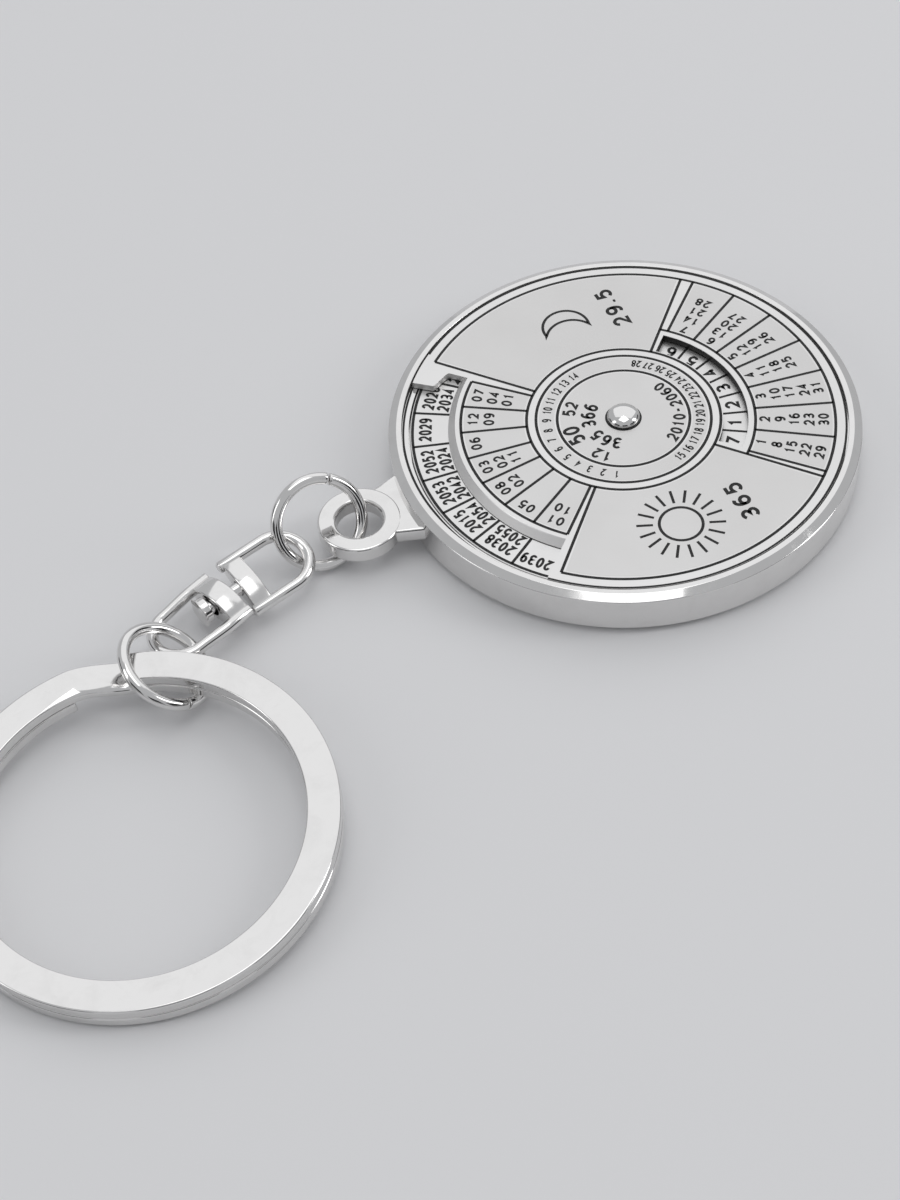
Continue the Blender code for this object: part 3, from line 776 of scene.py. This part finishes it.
# Flat marks: fields a hair above the plate, and the filled engraving and the lines of painted
# shade above them
unit = caseSizes.radius
plateTop, dialTop = plateSizes.top, dialSizes.top
markLook = Values(lengths(
    field=0.003, mark=0.007, line=0.25), bandStep=1.5, ellipseStep=15, mitre=0.45)
lineWidth = markLook.line
# Angles of the design are counted from a line that leans this far from the part's +X
lean = 18.3


def turnOf(angle):
    return angle - lean


def ellipse(x, y, wide, high, start, end, step=markLook.ellipseStep):
    count = max(2, round(abs(end - start) / step))
    return [(x + wide * cos(radians(angle)), y + high * sin(radians(angle)))
            for angle in spread(start, end, count)]


# Plain single stroke figures, one unit wide and high about their middle
figures = {
    "0": [ellipse(0, 0, 0.5, 0.5, 0, 345)],
    "1": [[(-0.28, 0.26), (0.06, 0.46), (0.06, -0.5)]],
    "2": [ellipse(0, 0.16, 0.47, 0.34, 165, -30) + [(-0.5, -0.5), (0.5, -0.5)]],
    "3": [ellipse(-0.03, 0.24, 0.46, 0.26, 150, -90)
          + ellipse(-0.02, -0.24, 0.50, 0.26, 75, -150)],
    "4": [[(0.24, -0.5), (0.24, 0.46), (-0.46, -0.22), (0.5, -0.22)]],
    "5": [[(0.42, 0.5), (-0.34, 0.5), (-0.42, 0.06)]
          + ellipse(-0.02, -0.18, 0.50, 0.32, 110, -145)],
    "6": [ellipse(0.06, -0.02, 0.54, 0.52, 60, 180) + ellipse(0, -0.20, 0.48, 0.30, 180, 540)],
    "7": [[(-0.48, 0.5), (0.48, 0.5), (-0.14, -0.5)]],
    "8": [ellipse(0, 0.25, 0.40, 0.25, 0, 345), ellipse(0, -0.25, 0.50, 0.25, 0, 345)],
    "9": [ellipse(-0.06, 0.02, 0.54, 0.52, 240, 360) + ellipse(0, 0.20, 0.48, 0.30, 0, 360)],
    "-": [[(-0.34, 0), (0.34, 0)]],
    ".": [[(0, -0.5), (0, -0.32)]],
}
closedFigures = {"0", "8"}
# Width and height over the stroke, the stroke, and the pitch, in millimetres
figureStyles = {"month": (0.64, 0.96, 0.20, 0.80), "date": (0.63, 0.94, 0.20, 0.77),
                "scale": (0.40, 0.82, 0.14, 0.43), "span": (0.68, 1.08, 0.22, 0.81),
                "small": (0.72, 1.14, 0.23, 0.93), "large": (0.94, 1.48, 0.29, 1.14),
                "middle": (0.77, 1.28, 0.25, 0.99), "sector": (1.12, 1.58, 0.31, 1.50),
                "year": (0.60, 1.12, 0.22, 0.70), "day": (0.86, 1.26, 0.26, 1.0)}


class Marks:
    # strokes and faces at one level, which is the face plate's unless another is named
    def __init__(self, level=plateTop + markLook.mark):
        self.shape = bmesh.new()
        self.level = level

    def face(self, points):
        self.shape.faces.new([self.shape.verts.new((x, y, self.level)) for x, y in points])

    def band(self, inner, outer, start, end):
        # part of a ring, by radii and by angles in degrees
        count = max(1, round(abs(end - start) / markLook.bandStep))
        angles = spread(start, end, count)
        for near, far in zip(angles, angles[1:]):
            self.face([polar(inner, near), polar(outer, near), polar(outer, far),
                       polar(inner, far)])

    def arc(self, radius, start, end, width=lineWidth):
        self.band(radius - width / 2, radius + width / 2, start, end)

    def spoke(self, angle, inner, outer, width=lineWidth):
        self.line([polar(inner, angle), polar(outer, angle)], width)

    def line(self, points, width=lineWidth, closed=False):
        # a mitred stroke along flat points
        spots = [Vector(point) for point in points]
        count = len(spots)
        rails = []
        for index, spot in enumerate(spots):
            before = spots[index - 1] if index or closed else None
            after = spots[(index + 1) % count] if index < count - 1 or closed else None
            arriving = (spot - before).normalized() if before else (after - spot).normalized()
            leaving = (after - spot).normalized() if after else arriving
            way = arriving + leaving
            normal = Vector((-way.y, way.x)).normalized()
            reach = max(normal.dot(Vector((-arriving.y, arriving.x))), markLook.mitre)
            side = normal * width / 2 / reach
            rails.append((self.shape.verts.new((*(spot - side), self.level)),
                          self.shape.verts.new((*(spot + side), self.level))))
        pairs = list(zip(rails, rails[1:]))
        if closed:
            pairs.append((rails[-1], rails[0]))
        for near, far in pairs:
            self.shape.faces.new((near[0], far[0], far[1], near[1]))

    def figure(self, char, centre, up, style):
        # one figure at a spot, its top towards up; the stroke stays inside its size
        wide, high, stroke, pitch = (value * mm for value in figureStyles[style])
        up = Vector(up)
        right = Vector((up.y, -up.x))
        for points in figures[char]:
            spots = [Vector(centre) + right * x * (wide - stroke) + up * y * (high - stroke)
                     for x, y in points]
            self.line(spots, stroke, char in closedFigures)

    def word(self, text, centre, up, style):
        # figures side by side on a straight line, centred on a spot; a point takes half a pitch
        up = Vector(up)
        right = Vector((up.y, -up.x))
        steps = [figureStyles[style][3] * mm * (0.5 if char == "." else 1) for char in text]
        place = -sum(steps) / 2
        for char, step in zip(text, steps):
            self.figure(char, Vector(centre) + right * (place + step / 2), up, style)
            place += step

    def label(self, text, radius, angle, style, outward):
        self.word(text, polar(radius, angle), polar(1 if outward else -1, angle), style)

    def curvedLabel(self, text, radius, middle, style, outward):
        # figures that follow a circle, each turned on its own
        sense = 1 if outward else -1
        step = degrees(figureStyles[style][3] * mm / radius)
        for index, char in enumerate(text):
            angle = middle - sense * (index - (len(text) - 1) / 2) * step
            self.figure(char, polar(radius, angle), polar(sense, angle), style)

    def finish(self, name, material=paint, body="case_body"):
        self.shape.normal_update()
        bmesh.ops.reverse_faces(self.shape, faces=[face for face in self.shape.faces
                                                   if face.normal.z < 0])
        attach(meshObject(name, self.shape, material), body)


rings = Values(
    first=0.280 * unit, second=0.370 * unit, third=0.410 * unit, border=0.888 * unit,
    dates=0.555 * unit, months=0.690 * unit)
sectors = Values(moon=(66, 150), sun=(-113.5, -30), dates=(-28.0, 62.3), months=(154.0, 243.6))
cellCount = 7
week = 7
fieldLook = Values(bright=grey(0.66, 0.010), dull=grey(0.63, 0.012), smooth=0.40, rough=0.46)
fieldMargins = {"moon": 1.0, "sun": 1.0, "dates": 0.8, "months": 1.0}
fieldStart = 1.42 * mm


def makeFields():
    # the smoother plating between the lines
    fields = Marks(plateTop + markLook.field)
    fields.band(fieldStart, rings.first - lineWidth, 0, 360)
    fields.band(rings.first + lineWidth, rings.second - lineWidth, 0, 360)
    for name, margin in fieldMargins.items():
        inner = rings["dates" if name == "dates" else "third"] + lineWidth
        outer = rings["months" if name == "months" else "border"] - lineWidth
        start, end = sectors[name]
        fields.band(inner, outer, turnOf(start) + margin, turnOf(end) - margin)
    fields.finish("satinFields", makeSatin("field satin", **fieldLook))


# Painted shadow in the corner of the case's seat, seen where the plate is notched: a dark band in
# the engraving paint stands in for the shade that the rim's wall casts there; the plate's edge
# hides part of it on the near side
seatShadeLook = Values(lengths(
    width=0.18, gap=0.02), start=127.0, end=204.0, steps=60, taper=16.0,
    hidden=(0.18 * mm, 0.55 * mm))


def makeSeatLine(look=seatShadeLook):
    shadeBand = Marks(caseSizes.seatTop + markLook.mark)
    outer = caseSizes.rimInner - look.gap
    pairs = []
    for angle in spread(look.start, look.end, look.steps):
        cover = max(0, -Vector(polar(1, angle)).dot(Vector(look.hidden)))
        wide = look.width * min(1, (look.end - angle) / look.taper)
        pairs.append((polar(outer - wide - cover, angle), polar(outer, angle)))
    for near, far in zip(pairs, pairs[1:]):
        shadeBand.face([near[0], near[1], far[1], far[0]])
    shadeBand.finish("seatShade")


# Two dark lines of painted shade, not engraved: the shadow in the gap where the plate's edge meets
# the rim, and the shadow around the rivet's foot
edgeShade = Values(lengths(radius=18.65, width=0.18), start=-134.4, end=129.7)
footShade = Values(lengths(radius=1.47, width=0.16), start=0, end=360)


def makePlateLines():
    lines = Marks()
    for name in ("first", "second", "third"):
        lines.arc(rings[name], 0, 360)
    moon, sun = sectors.moon, sectors.sun
    lines.arc(rings.border, turnOf(sun[0]), turnOf(moon[1]))
    for angle in moon + sun:
        lines.spoke(turnOf(angle), rings.third, rings.border)
    # the plate's edge line and the rivet's foot line are painted shade, drawn in the engraving
    # paint
    for line in (edgeShade, footShade):
        lines.arc(**line)
    lines.arc(rings.dates, turnOf(sun[1]), turnOf(moon[0]))
    for angle in spread(*sectors.dates, cellCount):
        lines.spoke(turnOf(angle), rings.dates, rings.border)
    lines.arc(rings.months, *(turnOf(angle) for angle in sectors.months))
    for angle in spread(*sectors.months, cellCount):
        lines.spoke(turnOf(angle), rings.third, rings.months)
    lines.finish("plateLinesAndShade")


monthCells = [("07", "04", "01"), ("12", "09"), ("06",), ("03", "02", "11"), ("08", "02"),
              ("05",), ("01", "10")]
monthRadii = [0.637, 0.570, 0.505]
dateRadii = [0.593, 0.657, 0.717, 0.777, 0.838]
# Text, radius, angle, style, and whether it stands outwards
scaleLook = Values(radius=0.325, low=(258, 124), high=(-51, 73), each=14)
centreLabels = [("2010-2060", 0.236, 3, "span", False), ("12", 0.232, 240, "small", True),
                ("52", 0.232, 160, "small", True), ("50", 0.232, 199, "large", True),
                ("365", 0.150, 234, "middle", True), ("366", 0.150, 168, "middle", True)]
sectorLabels = [("29.5", 0.2471, 0.6276), ("365", 0.2292, -0.6350)]


def cellMiddle(name, cell):
    start, end = sectors[name]
    return turnOf(start + (end - start) * (cell + 0.5) / cellCount)


def makeFigures():
    months = Marks()
    for cell, labels in enumerate(monthCells):
        for radius, label in zip(monthRadii, labels):
            months.label(label, radius * unit, cellMiddle("months", cell), "month", True)
    months.finish("monthFigures")

    dates = Marks()
    for day in range(1, 32):
        row, cell = divmod(day - 1, cellCount)
        dates.label(str(day), dateRadii[row] * unit, cellMiddle("dates", cell), "date", False)
    dates.finish("dateFigures")

    ring = Marks()
    each, radius = scaleLook.each, scaleLook.radius * unit
    for start, side, outward in ((1, "low", True), (each + 1, "high", False)):
        for index, angle in enumerate(spread(*scaleLook[side], each - 1)):
            ring.label(str(start + index), radius, turnOf(angle), "scale", outward)
    ring.finish("ringFigures")

    centre = Marks()
    for text, radius, angle, style, outward in centreLabels:
        centre.curvedLabel(text, radius * unit, turnOf(angle), style, outward)
    centre.finish("centreFigures")

    sector = Marks()
    for text, x, y in sectorLabels:
        sector.word(text, (x * unit, y * unit), (-1, 0), "sector")
    sector.finish("sectorFigures")


makeFields()
makeSeatLine()
makePlateLines()
makeFigures()
print("plate engraving made")


# Sun and moon
sunSizes = Values(lengths(
    rayWidth=0.2375), x=-0.0472 * unit, y=-0.6395 * unit, disc=0.0885 * unit, discStep=5,
    rayInner=0.114 * unit, rayOuter=0.182 * unit, rays=18, start=-21.8)
moonSizes = Values(
    outerSpot=(-0.180, 0.581), outerRadius=0.102, outerTurn=(0.3, 212.8),
    innerSpot=(-0.159, 0.508), innerRadius=0.1134, innerTurn=(171.0, 42.5),
    tips=((-0.2728, 0.5213), (-0.0728, 0.5816)), step=6)


def makeSun(size=sunSizes):
    sun = Marks()
    sun.line(ellipse(size.x, size.y, size.disc, size.disc, 0, 360 - size.discStep,
                     size.discStep), closed=True)
    middle = Vector((size.x, size.y))
    for index in range(size.rays):
        way = Vector(polar(1, size.start + 360 * index / size.rays))
        sun.line([middle + way * size.rayInner, middle + way * size.rayOuter], size.rayWidth)
    sun.finish("sunOrnament")


def makeMoon(size=moonSizes):
    # two arcs that meet in the crescent's tips
    moon = Marks()
    points = []
    for side, tip in zip(("outer", "inner"), size.tips):
        radius = size[side + "Radius"]
        points += ellipse(*size[side + "Spot"], radius, radius, *size[side + "Turn"],
                          size.step)[1:-1] + [tip]
    turn = Matrix.Rotation(radians(-lean), 2)
    moon.line([turn @ Vector(point) * unit for point in points], closed=True)
    moon.finish("moonOrnament")


makeSun()
makeMoon()
print("ornaments made")


# Year dial: 28 cells in two rows, and four turns of the weekday strip
dialLook = Values(lengths(
    dayWidth=0.225), outer=0.898 * unit, inner=0.740 * unit, cells=28, rows=(0.843, 0.777),
    firstLine=168.4, firstCell=162.0, lastNudge=1.0, years=(2010, 2060), dayInner=0.415 * unit,
    dayOuter=0.530 * unit, dayRadius=0.473 * unit, firstDayLine=-0.5, firstDay=-20.4, lastDay=6)
# The years that show at rest; the others are dealt to the cells behind
seenYears = {0: [2028, 2034], 1: [2029], 2: [2052, 2024], 3: [2053, 2042], 4: [2015, 2054],
             5: [2038, 2055], 6: [2039]}


def yearClass(year):
    # the weekday of the first of March, counted from 0
    return (year + year // 4 - year // 100 + year // 400) % week


def dealYears(size=dialLook):
    # neighbouring cells step by one weekday, and a cell holds two years at most
    cells = {index: list(cell) for index, cell in seenYears.items()}
    placed = {year for cell in cells.values() for year in cell}
    first, last = size.years
    for year in range(first, last + 1):
        if year in placed:
            continue
        want = (yearClass(year) - yearClass(seenYears[0][0])) % week
        free = [index for index in range(len(seenYears), size.cells)
                if index % week == want and len(cells.get(index, [])) < 2]
        cells.setdefault(min(free, key=lambda index: len(cells.get(index, []))), []).append(year)
    return cells


def makeDialMarks(size=dialLook):
    level = dialTop + markLook.mark
    turns = spread(0, 360, size.cells)[:-1]
    lines = Marks(level)
    lines.arc(size.outer, 0, 360)
    for turn in turns:
        lines.spoke(turnOf(size.firstLine) + turn, size.inner, size.outer)
        lines.spoke(turnOf(size.firstDayLine) + turn, size.dayInner, size.dayOuter, size.dayWidth)
    lines.finish("dialLines", body="dial")

    years = Marks(level)
    for index, cell in dealYears().items():
        nudge = size.lastNudge if index == len(seenYears) - 1 else 0
        angle = turnOf(size.firstCell) + turns[index] - nudge
        for radius, year in zip(size.rows, cell):
            years.label(str(year), radius * unit, angle, "year", True)
    years.finish("yearFigures", body="dial")

    days = Marks(level)
    for index, turn in enumerate(turns):
        day = (size.lastDay + index) % week + 1
        days.label(str(day), size.dayRadius, turnOf(size.firstDay) + turn, "day", False)
    days.finish("dayFigures", body="dial")


makeDialMarks()
print("dial engraving made")


# Stage: a pale table, soft lamps and a grey room
floorLook = Values(lengths(drop=0.2), colour=(0.78, 0.78, 0.79, 1.0), roughness=0.55, half=3.0)
floorShape = bmesh.new()
bmesh.ops.create_grid(floorShape, x_segments=1, y_segments=1, size=floorLook.half)
move(floorShape, Matrix.Translation((0, 0, -floorLook.drop)))
floorPaint = Finish("pale table").dress(Base_Color=floorLook.colour, Roughness=floorLook.roughness)
floor = meshObject("floor", floorShape, floorPaint)

# The room lights the object at one level, and metal, glass and camera see it paler
roomLook = Values(colour=(0.80, 0.81, 0.83, 1.0), lighting=0.52, mirrored=0.66)
world = bpy.data.worlds.new("room")
bpy.context.scene.world = world
world.use_nodes = True
roomTree = world.node_tree
background = roomTree.nodes["Background"]
background.inputs["Color"].default_value = roomLook.colour
ray = roomTree.nodes.new("ShaderNodeLightPath")
seen = ray.outputs["Is Camera Ray"]
for kind in ("Is Glossy Ray", "Is Transmission Ray"):
    either = roomTree.nodes.new("ShaderNodeMath")
    either.operation = "MAXIMUM"
    roomTree.links.new(seen, either.inputs[0])
    roomTree.links.new(ray.outputs[kind], either.inputs[1])
    seen = either.outputs[0]
strength = roomTree.nodes.new("ShaderNodeMapRange")
strength.inputs["To Min"].default_value = roomLook.lighting
strength.inputs["To Max"].default_value = roomLook.mirrored
roomTree.links.new(seen, strength.inputs["Value"])
roomTree.links.new(strength.outputs["Result"], background.inputs["Strength"])

# Place, size and watts of each lamp; all point at the chain's side of the case
lampLook = {"key": ((0.24, 0.39, 0.55), (0.95, 0.80), 1.16),
            "top": ((0.0, -0.05, 0.95), (0.55, 0.55), 1.15),
            "left": ((-0.52, 0.05, 0.30), (0.16, 0.40), 0.30),
            "right": ((0.50, -0.22, 0.34), (0.16, 0.36), 0.70)}
lampAim = Vector((-0.02, -0.005, 0))
for name, (spot, size, power) in lampLook.items():
    lamp = bpy.data.lights.new(name, "AREA")
    lamp.shape = "RECTANGLE"
    lamp.size, lamp.size_y = size
    lamp.energy = power
    holder = addObject(name, lamp)
    holder.location = spot
    holder.rotation_euler = (lampAim - Vector(spot)).to_track_quat("-Z", "Y").to_euler()

# Dark cards low around the table, so that bright metal has something to mirror
cardLook = Values(
    colour=(0.02, 0.02, 0.022, 1.0), roughness=0.9, reach=0.62, width=0.36, low=0.04,
    heights={155: 0.20, 205: 0.30, 255: 0.30, 305: 0.30, 355: 0.20})
cardPaint = Finish("dark card").dress(Base_Color=cardLook.colour, Roughness=cardLook.roughness)
for turn, high in cardLook.heights.items():
    side = Vector(polar(cardLook.width / 2, turn + 90))
    foot = Vector(polar(cardLook.reach, turn))
    corners = [(foot - side, cardLook.low), (foot + side, cardLook.low),
               (foot + side, high), (foot - side, high)]
    cardShape = bmesh.new()
    cardShape.faces.new([cardShape.verts.new((*spot, rise)) for spot, rise in corners])
    card = meshObject("card" + str(turn), cardShape, cardPaint)
    card.visible_camera = card.visible_shadow = card.visible_diffuse = False

# The camera stands where the photograph was taken from
cameraLook = Values(
    lens=65.163, sensor=36, nearest=0.01, spot=(-0.05527322, -0.11573587, 0.13745310),
    right=(0.9206667, -0.38527017, -0.0627672), up=(0.3359032, 0.70002863, 0.63018169),
    ahead=(0.19885137, 0.601271, -0.77390653))
camera = bpy.data.cameras.new("camera")
camera.sensor_fit = "VERTICAL"
camera.sensor_height = cameraLook.sensor
camera.lens = cameraLook.lens
camera.clip_start = cameraLook.nearest
viewer = addObject("camera", camera)
axes = Matrix((cameraLook.right, cameraLook.up, -Vector(cameraLook.ahead)))
viewer.matrix_world = Matrix.Translation(cameraLook.spot) @ axes.transposed().to_4x4()
bpy.context.scene.camera = viewer
bpy.context.scene.view_settings.view_transform = "Standard"
print("stage set")
